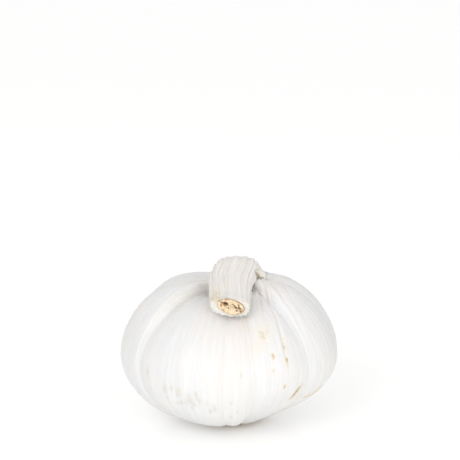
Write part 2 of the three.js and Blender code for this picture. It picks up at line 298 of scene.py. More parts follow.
def waves(seed, around, up, way, azimuth):
    """The same noise, from -0.5 to 0.5."""
    return net_noise(seed, around, up, way, azimuth) - 0.5


def ring_noise(seed, around, azimuth):
    """Smooth noise from 0 to 1 round the neck's cut."""
    return net_noise(seed, around, 1, 0 * azimuth, azimuth)


def ridged(noise, sharp=3):
    """Narrow ridges where the noise crosses its middle."""
    return (1 - np.abs(2 * noise - 1)) ** sharp


def along_path(path, count):
    """Both values at points along a path of pairs, and how far along it each point is."""
    knots = np.array(path, float)
    spots = np.linspace(0, len(knots) - 1, count)
    first, second = (np.interp(spots, range(len(knots)), values) for values in knots.T)
    return first, second, spots / (len(knots) - 1)


def near_path(points, path):
    """How far each point is from a path in mm, and how far along the path it is, from 0 to 1."""
    azimuth, way, shares = along_path(path, 24)
    stops = plain_point(way, azimuth)
    best = np.full(points.shape[:-1], 1e9)
    share = np.zeros(points.shape[:-1])
    for start, end, low, high in zip(stops[:-1], stops[1:], shares[:-1], shares[1:]):
        line = end - start
        part = np.clip((points - start) @ line / (line @ line), 0, 1)
        distance = np.linalg.norm(points - start - part[..., None] * line, axis=-1)
        nearer = distance < best
        best = np.where(nearer, distance, best)
        share = np.where(nearer, low + part * (high - low), share)
    return best, share


def path_distance(points, path):
    """How far each point is from a path in mm."""
    return near_path(points, path)[0]


def faded_ends(share, power):
    """A strength along a path: 1 at its middle and 0 at both its ends."""
    return np.sin(np.pi * share) ** power


# The skin's relief: what the skin adds to the plain form, along its outward direction. A path
# is a row of pairs of azimuth and way.

# The creases that fan out from the pocket at the right of the neck's foot: each has its path, its
# depth and its width in mm
CREASES = [
    ([(58, 0.75), (54, 0.69), (46, 0.635), (38.5, 0.59), (32.5, 0.49), (31.2, 0.44), (30.5, 0.38)],
     0.34, 0.42),
    ([(70, 0.76), (70, 0.71), (60, 0.655), (51, 0.58), (49.5, 0.5), (48.5, 0.43)], 0.30, 0.55),
    ([(52, 0.745), (44, 0.69), (36, 0.645), (30, 0.6), (24, 0.53)], 0.24, 0.35),
    ([(64, 0.755), (60, 0.7), (52, 0.65), (44, 0.59), (39, 0.53)], 0.22, 0.32),
    ([(78, 0.76), (82, 0.71), (76, 0.66), (62, 0.6), (57, 0.54)], 0.20, 0.32),
    ([(86, 0.765), (94, 0.71), (88, 0.655), (76, 0.61)], 0.22, 0.35),
    ([(96, 0.77), (104, 0.71), (100, 0.65), (94, 0.6)], 0.20, 0.35),
    ([(46, 0.735), (34, 0.685), (26, 0.66), (19, 0.62), (15, 0.55)], 0.16, 0.35),
]

# The pocket between the skins at the right of the neck's foot, and the lip of skin behind it
POCKET = [(94, 0.81), (80, 0.8), (66, 0.793), (54, 0.775)]
POCKET_RADIUS = 1.5
POCKET_DEPTH = 1.0
LIP = [(158, 0.71), (142, 0.69), (126, 0.677), (110, 0.68), (98, 0.694), (91, 0.706)]
LIP_HEIGHT = 1.1
LIP_WIDTH = 0.75

# The web of skin that joins the folded neck to the right shoulder
WEB = [(22, 0.68), (40, 0.687), (54, 0.71), (66, 0.74)]
WEB_HEIGHT = 1.5
WEB_WIDTH = 3.2

# The edge of the outer skin at the left, which stands over the front clove
SKIN_EDGE = [
    (-52, 0.704), (-59, 0.675), (-61, 0.645), (-59.2, 0.56), (-59.5, 0.5), (-60, 0.41),
    (-58.6, 0.34), (-57.8, 0.26), (-57, 0.2),
]
EDGE_KNOTS = np.array(SKIN_EDGE[::-1])

# The valley of the front clove beside the neck's foot, where a grey shade is painted
VALLEY = [(-50, 0.66), (-55, 0.62), (-54, 0.58)]

# The brown line along a crease
SCORCH = [(34.5, 0.49), (32.6, 0.45), (31.2, 0.405), (31.0, 0.37)]

# The edge of the outer skin that has come off low on the right
TORN_EDGE = [(36.0, 0.226), (44.0, 0.232), (54.0, 0.226), (66.0, 0.235)]

# The tear low on the right: where the outer skin is gone, and the skin below it shows
TEAR = [(40.2, 0.305), (38.6, 0.27), (36.6, 0.238)]
TEAR_HALF_WIDTH = 0.9

# Where the skin lies tight over the front clove, and how far round that reaches, in degrees
TIGHT_AZIMUTH = -32
TIGHT_REACH = 30

# The relief that runs all over the skin: heights and depths in mm
BROAD_DENTS = 0.42
SMALL_DENTS = 0.3
COARSE_VEINS = 0.12
FINE_VEINS = 0.05
GATHERED_FOLDS = 0.21
NECK_GROOVES = 0.22
NECK_SWELLS = 0.22
ROOT_WRINKLES = 0.2


def veins(way, azimuth):
    """The skin's long veins, which wander a little on their way up."""
    wander = azimuth + 3.0 * waves(11, 11, 7, way, azimuth)
    coarse = ridged(net_noise(12, 78, 4, way, wander))
    fine = ridged(net_noise(13, 168, 7, way, wander), 2)
    tight = bump(turn_from(azimuth, TIGHT_AZIMUTH), TIGHT_REACH)
    return (COARSE_VEINS * coarse + FINE_VEINS * fine) * (1 - 0.6 * tight)


def overall_relief(way, azimuth):
    """The dents and veins, the folds and grooves of the neck, and the wrinkles by the roots."""
    near_neck = smooth(way, 0.52, 0.7)
    on_body = smooth(way, 0, 0.1) * (1 - smooth(way, FOOT_WAY - 0.05, FOOT_WAY + 0.01))
    dents = BROAD_DENTS * waves(1, 11, 6, way, azimuth)
    dents = dents + SMALL_DENTS * waves(2, 29, 8, way, azimuth)
    wander = azimuth + 4 * waves(22, 9, 6, way, azimuth)
    gathered = ridged(net_noise(21, 62, 9, way, wander), 1.5) - 0.45
    grooves = ridged(net_noise(24, 34, 4, way, azimuth), 5) * smooth(way, FOOT_WAY, FOOT_WAY + 0.06)
    swells = waves(23, 40, 3, way, azimuth) * smooth(way, FOOT_WAY, FOOT_WAY + 0.05)
    wrinkles = ridged(net_noise(31, 60, 9, way, azimuth), 1.5) - 0.4
    height = dents * on_body + veins(way, azimuth) * (1 - 0.5 * near_neck)
    height = height + GATHERED_FOLDS * gathered * near_neck
    height = height - NECK_GROOVES * grooves + NECK_SWELLS * swells
    return height + ROOT_WRINKLES * wrinkles * (1 - smooth(way, 0.03, 0.12))


def crease_relief(point):
    """The fan of creases, each with a low ridge beside it."""
    height = np.zeros(point.shape[:-1])
    for path, depth, width in CREASES:
        distance, share = near_path(point, path)
        fade = smooth(share, 0, 0.05) * (1 - smooth(share, 0.75, 1))
        ridge = bump(distance - 2.2 * width, 1.4 * width)
        height = height + fade * depth * (0.35 * ridge - bump(distance, width))
    return height


def edge_relief(way, azimuth, point):
    """The step down from the outer skin's edge at the left to the front clove."""
    distance, share = near_path(point, SKIN_EDGE)
    fade = smooth(share, 0, 0.08) * (1 - smooth(share, 0.8, 1))
    outside = turn_from(azimuth, np.interp(way, EDGE_KNOTS[:, 1], EDGE_KNOTS[:, 0])) < 0
    return fade * np.where(outside, 0.1 * bump(distance, 2.6), -0.16 * bump(distance, 2.2))


def neck_foot_relief(point):
    """The pocket at the right of the neck's foot, the lip behind it and the web beside it."""
    distance, share = near_path(point, LIP)
    lip = bump(distance, LIP_WIDTH) * smooth(share, 0, 0.3) * (1 - smooth(share, 0.75, 1))
    pocket = bump(path_distance(point, POCKET), POCKET_RADIUS)
    web = bump(path_distance(point, WEB), WEB_WIDTH)
    return LIP_HEIGHT * lip - POCKET_DEPTH * pocket + WEB_HEIGHT * web


def tear_relief(point):
    """The bed of the tear, which lies a skin's thickness lower."""
    distance = path_distance(point, TEAR)
    return -0.1 * (1 - smooth(distance, 0.8 * TEAR_HALF_WIDTH, 1.1 * TEAR_HALF_WIDTH))


def relief(way, azimuth, point):
    """How far the real skin stands out from the plain form, in mm."""
    off_rim = smooth(way, 0, 0.03) * (1 - smooth(way, 0.985, 1) * 0.7)
    height = overall_relief(way, azimuth) + crease_relief(point) + edge_relief(way, azimuth, point)
    return (height + neck_foot_relief(point) + tear_relief(point)) * off_rim


def skin_point(way, azimuth):
    """A point of the real skin, with its relief."""
    point = plain_point(way, azimuth)
    return point + plain_normal(way, azimuth) * relief(way, azimuth, point)[..., None]


# The skin's marks: each is a strength at every point, 0 where there is none and about 1 at most

# Dry specks on the skin: azimuth, way, radius in mm and strength
SPECKS = [
    (31.6, 0.44, 0.6, 0.9), (31.0, 0.398, 0.7, 1.0), (31.1, 0.379, 0.55, 0.7),
    (32.6, 0.462, 0.55, 0.6), (23.6, 0.414, 0.7, 0.95), (22.8, 0.373, 0.6, 0.7),
    (20.5, 0.486, 1.8, 0.6), (24.8, 0.502, 1.5, 0.5), (16.5, 0.451, 1.2, 0.45),
    (12.2, 0.45, 0.6, 0.32), (12.6, 0.414, 0.5, 0.36), (29.2, 0.313, 0.5, 1.2),
    (-27.0, 0.303, 0.45, 0.5), (-22.0, 0.284, 0.4, 0.6), (-18.6, 0.296, 0.4, 0.55),
    (-12.0, 0.262, 0.3, 0.4), (58.0, 0.245, 1.6, 0.45), (5.8, 0.369, 0.5, 0.35),
    (9.5, 0.53, 1.6, 0.3), (118.0, 0.4, 0.9, 0.6), (150.0, 0.3, 1.2, 0.5),
    (196.0, 0.45, 0.8, 0.5), (232.0, 0.33, 1.2, 0.45), (241.0, 0.36, 0.7, 0.6),
    (282.0, 0.5, 0.8, 0.35),
]

# Greyish bruises where the clove shows through the skin: azimuth, way, radius in mm and strength
BRUISES = [
    (-27.5, 0.304, 0.8, 0.9), (-22.0, 0.28, 1.0, 1.0), (-18.2, 0.296, 0.7, 0.9),
    (-36.0, 0.305, 0.9, 0.8), (-31.5, 0.312, 0.6, 0.8), (-24.5, 0.268, 0.6, 0.9),
    (-20.0, 0.266, 0.6, 0.9), (-16.5, 0.28, 0.6, 0.8), (-48.5, 0.34, 0.9, 0.6),
    (-9.0, 0.25, 0.9, 0.6), (-13.0, 0.27, 0.5, 0.7), (170.0, 0.33, 1.6, 0.6),
    (226.0, 0.28, 1.4, 0.6), (84.0, 0.3, 1.3, 0.5), (-20.2, 0.267, 0.45, 1.3),
    (-27.4, 0.267, 0.4, 1.2), (-18.0, 0.305, 0.4, 1.2), (-21.6, 0.25, 0.4, 1.2),
    (-36.7, 0.299, 0.4, 1.1), (-36.0, 0.277, 0.4, 1.0), (-11.5, 0.239, 0.45, 1.2),
    (-8.6, 0.245, 0.4, 1.1), (0.7, 0.207, 0.4, 1.2), (5.8, 0.364, 0.4, 1.1),
    (0.7, 0.272, 0.35, 1.0), (-30.2, 0.261, 0.35, 1.1), (-28.8, 0.294, 0.35, 1.1),
    (4.3, 0.234, 0.35, 1.0),
]

# The corner of the neck's cut that has dried yellow, as an azimuth on the neck
DRY_CORNER = -122


def spot_marks(way, azimuth, spots):
    """Round spots that are twice as long up the skin as across it."""
    marks = np.zeros(way.shape)
    radius = np.interp(way * SKIN_LENGTH, OUTLINE_LENGTHS, OUTLINE_CURVE[:, 0])
    for spot_azimuth, spot_way, size, strength in spots:
        across = np.radians(turn_from(azimuth, spot_azimuth)) * radius
        along = (way - spot_way) * SKIN_LENGTH / 2
        marks = np.maximum(marks, strength * bump(np.hypot(across, along), 1.3 * size))
    return marks


def tan_marks(way, azimuth, point):
    """Dry tan skin: the specks, the pocket, the tear, the neck's cut and the root end."""
    tear, along_tear = near_path(point, TEAR)
    edge, along_edge = near_path(point, TORN_EDGE)
    scorch, along_scorch = near_path(point, SCORCH)
    corner = (0.5 + 0.5 * np.cos(np.radians(azimuth - DRY_CORNER))) ** 8
    return np.maximum.reduce([
        spot_marks(way, azimuth, SPECKS),
        0.75 * bump(path_distance(point, POCKET), 1.8),
        1.15 * bump(tear, 1.25 * TEAR_HALF_WIDTH) * faded_ends(along_tear, 0.35),
        0.45 * bump(edge, 1.5) * faded_ends(along_edge, 0.5),
        0.42 * bump(scorch, 0.5) * faded_ends(along_scorch, 0.5),
        smooth(way, 0.95 - 0.07 * corner, 1.0) * (0.08 + 0.6 * corner),
        0.75 * (1 - smooth(way, 0.0, 0.045)),
    ])


def bruise_and_valley_shade_marks(way, azimuth, point):
    """Greyish bruises, and painted grey shade in the valley at the left of the neck's foot."""
    # Painted grey shade in the valley beside the neck's foot
    painted_valley_shade = 0.5 * bump(path_distance(point, VALLEY), 4.5)
    return np.maximum(spot_marks(way, azimuth, BRUISES), painted_valley_shade)


def rose_tint_and_shade_marks(way, azimuth, point):
    """A faint pink tint: the skin's own on the front and the neck, and painted shade under the neck's
    cut, in the creases and in the web.
    """
    turn = turn_from(azimuth, 0)
    below_cut = plain_point(np.array(0.56), np.array(3.0))
    strip = smooth(turn, -7, -3) * (1 - smooth(turn, 10, 15)) * smooth(way, 0.15, 0.5)
    marks = [
        # Painted shade under the neck's cut
        bump(np.linalg.norm(point - below_cut, axis=-1), 10),
        # The skin's own pink down the front, on the right shoulder and on the neck
        0.8 * strip,
        0.7 * smooth(way, 0.54, 0.68) * bump(turn - 62, 60),
        0.35 * smooth(way, FOOT_WAY, FOOT_WAY + 0.06),
        # Painted shade in the web of the fold under the neck
        bump(path_distance(point, WEB), 1.4 * WEB_WIDTH),
    ]
    # Painted shade in the creases
    for path, _, width in CREASES:
        distance, share = near_path(point, path)
        marks.append(bump(distance, 1.2 * width) * (1 - smooth(share, 0.6, 1)))
    return np.maximum.reduce(marks)


# Meshes

def make_object(name, points, faces, material):
    """A smooth mesh object from points in mm, riding on the bulb, in its finish."""
    mesh = bpy.data.meshes.new(name)
    mesh.from_pydata((points * MM).tolist(), [], faces)
    mesh.update()
    mesh.polygons.foreach_set("use_smooth", [True] * len(mesh.polygons))
    piece = bpy.data.objects.new(name, mesh)
    bpy.context.scene.collection.objects.link(piece)
    mesh.materials.append(material)
    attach(piece, "root")
    return piece


def ring_faces(rows, columns):
    """The quads of a net of rings that closes on itself around."""
    faces = []
    for row in range(rows - 1):
        low = row * columns
        high = low + columns
        for column in range(columns):
            following = (column + 1) % columns
            faces.append((low + column, low + following, high + following, high + column))
    return faces


def make_ringed(name, net, ends, material, turned=False):
    """A closed piece from a net of rings with a fan to a point at each end, and its flat map."""
    rows, columns = net.shape[:2]
    faces = ring_faces(rows, columns)
    first_end, last_end = rows * columns, rows * columns + 1
    last_ring = (rows - 1) * columns
    for column in range(columns):
        following = (column + 1) % columns
        faces.append((first_end, following, column))
        faces.append((last_ring + column, last_ring + following, last_end))
    if turned:
        faces = [face[::-1] for face in faces]
    points = np.concatenate([net.reshape(-1, 3), ends])
    piece = make_object(name, points, faces, material)
    add_ring_map(piece, rows, columns)
    return piece


def joined(parts):
    """The points and faces of several parts, as those of one mesh."""
    points, faces, total = [], [], 0
    for part_points, part_faces in parts:
        points.append(part_points)
        faces.extend(tuple(corner + total for corner in face) for face in part_faces)
        total += len(part_points)
    return np.concatenate(points), faces


def add_marks(piece, name, values):
    """A strength at each of the piece's points, which its material reads by name."""
    marks = piece.data.attributes.new(name, "FLOAT", "POINT")
    marks.data.foreach_set("value", np.asarray(values, np.float32).ravel())


def add_grain(piece, places):
    """The places, as three numbers a point, by which a material lays its long grain."""
    grain = piece.data.attributes.new("grain", "FLOAT_VECTOR", "POINT")
    grain.data.foreach_set("vector", np.asarray(places, np.float32).ravel())


def grain_places(way, azimuth):
    """Places on a drum, so that the grain closes on itself around and runs up the skin."""
    angle = np.radians(azimuth)
    return np.stack([np.sin(angle), np.cos(angle), way * 1.2], -1)


MAP_MARGIN = 0.002


def add_ring_map(piece, rows, columns):
    """A flat map of a net of rings, without overlaps, with the two end fans at its edges."""
    mesh = piece.data
    layer = mesh.uv_layers.new(name="OFBake")
    corners = np.zeros(len(mesh.loops), int)
    mesh.loops.foreach_get("vertex_index", corners)
    totals = np.zeros(len(mesh.polygons), int)
    mesh.polygons.foreach_get("loop_total", totals)
    face = np.repeat(np.arange(len(totals)), totals)
    on_net = corners < rows * columns
    row = np.clip(corners // columns, 0, rows - 1) + 1.0
    row = np.where(corners == rows * columns, 0.0, row)
    row = np.where(corners == rows * columns + 1, rows + 1.0, row)
    column = (corners % columns).astype(float)
    wraps = np.zeros(len(totals), bool)
    np.logical_or.at(wraps, face, (column == columns - 1) & on_net)
    column = np.where(wraps[face] & (column == 0) & on_net, columns, column)
    lowest = np.full(len(totals), np.inf)
    np.minimum.at(lowest, face, np.where(on_net, column, np.inf))
    column = np.where(on_net, column, lowest[face] + 0.5)
    places = np.stack([column / columns, row / (rows + 1)], -1)
    places = MAP_MARGIN + (1 - 2 * MAP_MARGIN) * places
    layer.data.foreach_set("uv", places.astype(np.float32).ravel())


# The skin over the cloves and the neck

def cut_oval(half, azimuth, back):
    """Points of an oval round the stalk, set back from the neck's cut along the neck."""
    angle = np.radians(azimuth)
    across = STALK_OFFSET + half[0] * np.sin(angle)
    return in_section(NECK_LENGTH, across, -half[1] * np.cos(angle), STALK_ROLL) - CUT_FORWARD * back


def ragged_cut(azimuth):
    """How far the skins reach past or fall short of the plane of the cut, in mm."""
    return 0.36 * (ring_noise(41, 34, azimuth) - 0.62) + 0.2 * (ring_noise(42, 90, azimuth) - 0.5)


def hollow_rings(angle):
    """The rings of skin that turn in under the bulb, from over the root plate to the rim."""
    rim_radius, rim_height = OUTLINE[0]
    rings = []
    for share in np.linspace(0, 1, HOLLOW_ROWS, endpoint=False):
        radius = rim_radius - HOLLOW_DRAW * (1 - share) ** 2
        rings.append(round_point(radius, angle, HOLLOW_TOP - (HOLLOW_TOP - rim_height) * share))
    return rings


def cut_rings(azimuth, outer):
    """The rings over the cut ends of the skins' layers, and down into the mouth."""
    inner = cut_oval(STALK_HALF, azimuth, MOUTH_SETBACK)
    rings = []
    for share in np.linspace(0, 1, CUT_ROWS + 1)[1:]:
        layers = 0.16 * math.sin(2 * math.pi * 2.5 * share)
        layers = layers + 0.12 * (ring_noise(43, 40, azimuth + 50 * share) - 0.5)
        back = 0.25 * math.sin(math.pi * share) + layers * (1 - share)
        rings.append(outer * (1 - share) + inner * share - CUT_FORWARD * back[..., None])
    grip = [half - MOUTH_GRIP for half in STALK_HALF]
    return rings + [cut_oval(grip, azimuth, MOUTH_DEPTH * share) for share in (0.2, 1.0)]


def make_bulb_skin(material):
    """The skin from the hollow at the root plate, over the cloves and the neck, into its cut."""
    azimuth = np.linspace(-180, 180, SKIN_COLUMNS, endpoint=False)
    body_ways = np.linspace(0, FOOT_WAY, BODY_ROWS, endpoint=False)
    neck_ways = np.linspace(FOOT_WAY, 1, NECK_ROWS)
    skin_ways = np.concatenate([body_ways, neck_ways])
    way_net, azimuth_net = np.meshgrid(skin_ways, azimuth, indexing="ij")
    ragged = smooth(way_net, 0.955, 1) * ragged_cut(azimuth_net)
    skin = skin_point(way_net, azimuth_net) + CUT_FORWARD * ragged[..., None]
    hollow = hollow_rings(np.radians(azimuth))
    cut = cut_rings(azimuth, skin[-1])
    net = np.array([*hollow, *skin, *cut])
    ends = [[0, 0, HOLLOW_TOP], net[-1].mean(0)]
    piece = make_ringed("bulb_skin", net, ends, material)

    ways = np.concatenate([np.zeros(len(hollow)), skin_ways, np.ones(len(cut))])
    way = np.repeat(ways, SKIN_COLUMNS)
    turn = np.tile(azimuth, len(net))
    place = plain_point(way, turn)
    first_cut = len(hollow) + len(skin)
    in_cut = np.repeat(np.arange(len(net)) > first_cut, SKIN_COLUMNS)
    none = [0.0, 0.0]
    add_marks(piece, "tan", np.append(tan_marks(way, turn, place), [1.0, 1.0]))
    # The bruises' mark also carries painted shade in the valley by the neck's foot
    add_marks(piece, "bruise_and_valley_shade", np.append(bruise_and_valley_shade_marks(way, turn, place), none))
    # The pink mark carries painted shade under the neck's cut, in the creases and in the web
    add_marks(piece, "rose_and_shade", np.append(rose_tint_and_shade_marks(way, turn, place), none))
    add_marks(piece, "cut", np.append(in_cut, none))
    add_marks(piece, "neck", np.append(smooth(way, 0.64, FOOT_WAY + 0.04), none))
    add_grain(piece, np.append(grain_places(way, turn), [[0, 0, 0], [0, 0, 1]], axis=0))
    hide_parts("bulb")


# The loose bits of outer skin: each is a sliver that leaves the skin along a path of azimuth and
# way and bends up from it. A positive side lies to the right of the path, seen along it from
# outside. Each has its path, its width in mm, its side, how far it bends up in radians, its seed.
TORN_FLAPS = [
    ([(41.6, 0.308), (40.0, 0.272), (37.6, 0.238)], 0.8, -1, 0.05, 1),
    ([(38.6, 0.306), (37.2, 0.272), (35.2, 0.238)], 0.6, 1, 0.15, 2),
    ([(64.0, 0.262), (57.0, 0.238), (51.0, 0.222)], 1.4, -1, 0.1, 3),
    ([(205.0, 0.46), (208.0, 0.39), (209.0, 0.3)], 1.2, 1, 0.3, 4),
]
FLAP_STEPS = 44
FLAP_ACROSS = 12
FLAP_THICK = 0.07
FLAP_LIFT = 0.03
FLAP_RADIUS = 1.6
FLAP_NOTCHES = 10
FLAP_TAN = 0.75

# The frayed skin round the root plate: how many slivers, and how long they are in mm
FRAY_COUNT = 26
FRAY_LENGTH = (0.9, 2.4)
FRAY_TAN = 0.6


def closed_sheet(upper, lower):
    """The points and faces of a thin sheet between two nets of the same size."""
    rows, columns = upper.shape[:2]
    count = rows * columns
    index = np.arange(count).reshape(rows, columns)
    faces = []
    for row in range(rows - 1):
        for column in range(columns - 1):
            corners = (index[row, column], index[row, column + 1])
            corners += (index[row + 1, column + 1], index[row + 1, column])
            faces.append(tuple(int(corner) for corner in corners))
            faces.append(tuple(int(corner) + count for corner in corners[::-1]))
    border = [*index[0], *index[1:, -1], *index[-1, -2::-1], *index[-2:0:-1, 0]]
    for here, there in zip(border, border[1:] + border[:1]):
        faces.append((int(there), int(here), int(here) + count, int(there) + count))
    return np.concatenate([upper.reshape(-1, 3), lower.reshape(-1, 3)]), faces


def sliver(path, width, side, bend, seed):
    """A sliver of torn skin: it lies on the bulb at its root and bends up from it."""
    azimuth, way, share = along_path(path, FLAP_STEPS)
    root = skin_point(way, azimuth)
    outward = plain_normal(way, azimuth)
    sideways = side * np.cross(unit(np.gradient(root, axis=0)), outward)
    notches = np.random.default_rng(seed).uniform(0.6, 1.15, FLAP_NOTCHES)
    uneven = np.interp(share * (FLAP_NOTCHES - 1), range(FLAP_NOTCHES), notches)
    reach = width * np.sin(np.pi * np.clip(share * 0.92 + 0.04, 0, 1)) ** 0.6 * uneven
    net = []
    for across in np.linspace(0, 1, FLAP_ACROSS):
        length = reach * across
        turn = np.minimum(length / FLAP_RADIUS, bend)
        beyond = length - FLAP_RADIUS * turn
        out = FLAP_RADIUS * np.sin(turn) + beyond * np.cos(turn)
        rise = FLAP_LIFT + FLAP_RADIUS * (1 - np.cos(turn)) + beyond * np.sin(turn)
        rise = rise - out**2 / (2 * BULB_RADIUS)
        net.append(root + sideways * out[..., None] + outward * rise[..., None])
    upper = np.array(net)[::-side]
    return closed_sheet(upper, upper - FLAP_THICK * outward[None])


def make_slivers(name, slivers, tan, material):
    """One piece of slivers of torn skin, each tan towards its free edge."""
    edges, places = [], []
    for _, width, side, _, seed in slivers:
        across = np.repeat(np.linspace(0, 1, FLAP_ACROSS)[::-side], FLAP_STEPS)
        share = np.tile(np.linspace(0, 1, FLAP_STEPS), FLAP_ACROSS)
        edges.append(np.tile(across, 2))
        place = np.stack([across * width / 30, 0 * across, share * 0.1 + seed], -1)
        places.append(np.tile(place, (2, 1)))
    points, faces = joined(sliver(*facts) for facts in slivers)
    piece = make_object(name, points, faces, material)
    add_marks(piece, "tan", tan * (0.3 + 0.7 * np.concatenate(edges)))
    add_grain(piece, np.concatenate(places))


def make_frayed_skin(material):
    """The frayed ends of the skin's layers round the root plate."""
    random = np.random.default_rng(88)
    slivers = []
    for index in range(FRAY_COUNT):
        middle = 360 * (index + random.uniform(-0.3, 0.3)) / FRAY_COUNT
        half = random.uniform(3.0, 7.0)
        low, high = random.uniform(0.012, 0.03, 2)
        path = [(middle - half, low), (middle, (low + high) / 2), (middle + half, high)]
        width = random.uniform(*FRAY_LENGTH)
        slivers.append((path, width, 1, random.uniform(0.1, 0.3), 100 + index))
    make_slivers("frayed_skin", slivers, FRAY_TAN, material)


# The dry stalk in the neck's cut end

# The hollows of the stalk's dried pith: place across and up in the stalk's section, size, depth
PITH_HOLLOWS = [
    (-1.5, 0.1, 0.78, 1.4), (1.5, -0.1, 0.45, 1.0), (2.45, 0.05, 0.5, 1.0), (0.35, 0.7, 0.26, 0.5),
    (1.9, -0.85, 0.3, 0.5), (-2.7, 0.3, 0.3, 0.5), (2.9, -0.55, 0.3, 0.5), (2.0, 0.75, 0.25, 0.5),
    (0.9, 0.3, 0.22, 0.4), (-0.4, -0.9, 0.22, 0.4),
]

# The rings of the stalk's wall in the mouth: share of the stalk's width, and depth behind the cut
STALK_WALL = np.array([(1.0, MOUTH_DEPTH - 0.2), (1.0, 1.4), (1.0, 0.6), (0.995, 0.35)])
STALK_COLUMNS = 144
STALK_ROWS = 60


def make_stalk(material):
    """The stalk's cut face: a thin raised rim, spongy pith within it and the pith's hollows."""
    angle = np.linspace(0, 2 * np.pi, STALK_COLUMNS, endpoint=False)
    shares = np.append(STALK_WALL[:, 0], np.linspace(0.985, 0.02, STALK_ROWS))
    spread, turn = np.meshgrid(shares, angle, indexing="ij")
    degrees = np.degrees(turn)
    uneven = 0.93 + 0.08 * ring_noise(50, 13, degrees)
    across = STALK_HALF[0] * spread * np.sin(turn) * uneven
    upward = -STALK_HALF[1] * spread * np.cos(turn) * uneven
    pith = net_noise(51, 26, 12, spread, degrees) + 0.7 * net_noise(52, 60, 26, spread, degrees)
    rim = bump(spread - 0.95, 0.06)
    back = 0.25 - 0.15 * rim + 0.5 * (pith - 0.85) * (1 - rim) + 0.2 * smooth(1 - spread, 0.05, 0.4)
    hollow = np.zeros(spread.shape)
    for hole_across, hole_up, size, depth in PITH_HOLLOWS:
        far = np.hypot(across - hole_across, (upward - hole_up) * 1.15)
        far = far * (1 + 0.35 * waves(53, 14, 9, spread, degrees))
        inside = 1 - smooth(far, 0.7 * size, 1.15 * size)
        hollow = np.maximum(hollow, inside)
        back = back + depth * inside
    wall_rows = len(STALK_WALL)
    back[:wall_rows] = STALK_WALL[:, 1:]
    hollow[:wall_rows] = 0
    face = in_section(NECK_LENGTH, STALK_OFFSET + across, upward, STALK_ROLL)
    net = face - CUT_FORWARD * back[..., None]
    piece = make_ringed("stalk_pith", net, net[[0, -1]].mean(1), material)

    browned = rim * (0.55 + 0.45 * smooth(np.sin(turn - 0.9), -0.4, 0.6))
    crumbs = smooth(pith, 0.8, 1.05) * (0.3 + 0.7 * smooth(np.abs(across), 0.8, 2.2))
    # Where dark brown shade is painted in the pith's hollows
    add_marks(piece, "hollow", np.append(hollow, [0.0, hollow[-1].mean()]))
    add_marks(piece, "rim", np.append(browned, [0.0, 0.0]))
    add_marks(piece, "sponge", np.append(crumbs, [0.0, 0.5]))
    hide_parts("stalk_core")


# The root plate and its trimmed roots

# The plate's outline from the middle of its underside round to its top: radius and height in mm
PLATE_OUTLINE = [
    (0.3, 0.12), (1.5, 0.06), (3.0, 0.03), (4.6, 0.0), (4.9, 0.25), (5.2, 0.8), (6.2, 0.95),
    (7.2, 1.0), (7.7, 1.1), (7.9, 1.3), (7.8, 2.0), (7.2, 2.3),
]
PLATE_COLUMNS = 144
PLATE_ROUGHNESS = 0.22
ROOT_COUNT = 170
ROOT_SIDES = 8
ROOT_STEPS = 6
ROOT_TOP = 1.35
LOWEST_ROOT = 0.02
GOLDEN_SHARE = 0.618034


def make_root_plate(material):
    """The corky plate, with a rough flat middle and a hollow round it."""
    radius, height, _ = along_path(PLATE_OUTLINE, 4 * len(PLATE_OUTLINE))
    angle = np.linspace(0, 2 * np.pi, PLATE_COLUMNS, endpoint=False)
    radius_net, angle_net = np.meshgrid(radius, angle, indexing="ij")
    degrees = np.degrees(angle_net)
    share = radius_net / PLATE_RADIUS
    rough = net_noise(61, 31, 12, share, degrees) + 0.6 * net_noise(62, 70, 26, share, degrees)
    rough = PLATE_ROUGHNESS * rough * (1 - smooth(radius_net, 6.8, 7.6))
    net = round_point(radius_net, angle_net, height[:, None] + rough)[::-1]
    ends = [[0, 0, PLATE_TOP], net[-1].mean(0)]
    piece = make_ringed("corky_root_plate", net, ends, material, turned=True)
    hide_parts("root_plate")


def root_tube(middles, radii):
    """The points and faces of one root: a thin bent tube with closed ends."""
    forward = unit(np.gradient(middles, axis=0))
    side = unit(np.cross(forward, (0.3, 0.2, 1.0)))[:, None]
    other = np.cross(forward, side[:, 0])[:, None]
    angle = np.linspace(0, 2 * np.pi, ROOT_SIDES, endpoint=False)[None, :, None]
    outward = side * np.cos(angle) + other * np.sin(angle)
    points = (middles[:, None] + outward * radii[:, None, None]).reshape(-1, 3)
    points[:, 2] = np.maximum(points[:, 2], LOWEST_ROOT)
    faces = ring_faces(ROOT_STEPS, ROOT_SIDES)
    faces.append(tuple(range(ROOT_SIDES))[::-1])
    last_ring = (ROOT_STEPS - 1) * ROOT_SIDES
    faces.append(tuple(range(last_ring, last_ring + ROOT_SIDES)))
    return points, faces


def make_roots(material):
    """The trimmed roots: short stiff stubs round the plate, bent outwards and cut level."""
    random = np.random.default_rng(70)
    share = np.linspace(0, 1, ROOT_STEPS)
    roots = []
    for index in range(ROOT_COUNT):
        angle = 2 * math.pi * (index * GOLDEN_SHARE + 0.02 * random.random())
        foot = 4.7 + 2.5 * math.sqrt((index + 0.5) / ROOT_COUNT)
        lean = random.uniform(0.1, 0.9)
        turn = random.uniform(-0.5, 0.5)
        cut = random.uniform(0.02, 0.45)
        thick = random.uniform(0.2, 0.42)
        radius = np.minimum(foot + lean * share**1.5, PLATE_RADIUS - 0.1)
        height = ROOT_TOP * (1 - share) + (cut + thick * 0.4) * share
        middles = round_point(radius, angle + turn * share**2 * 0.12, height)
        radii = thick * (1.0 - 0.2 * share + 0.08 * np.sin(share * 9 + index))
        roots.append(root_tube(middles, radii))
    points, faces = joined(roots)
    piece = make_object("trimmed_roots", points, faces, material)
    add_marks(piece, "tip", np.tile(np.repeat(share, ROOT_SIDES), ROOT_COUNT))


# Materials

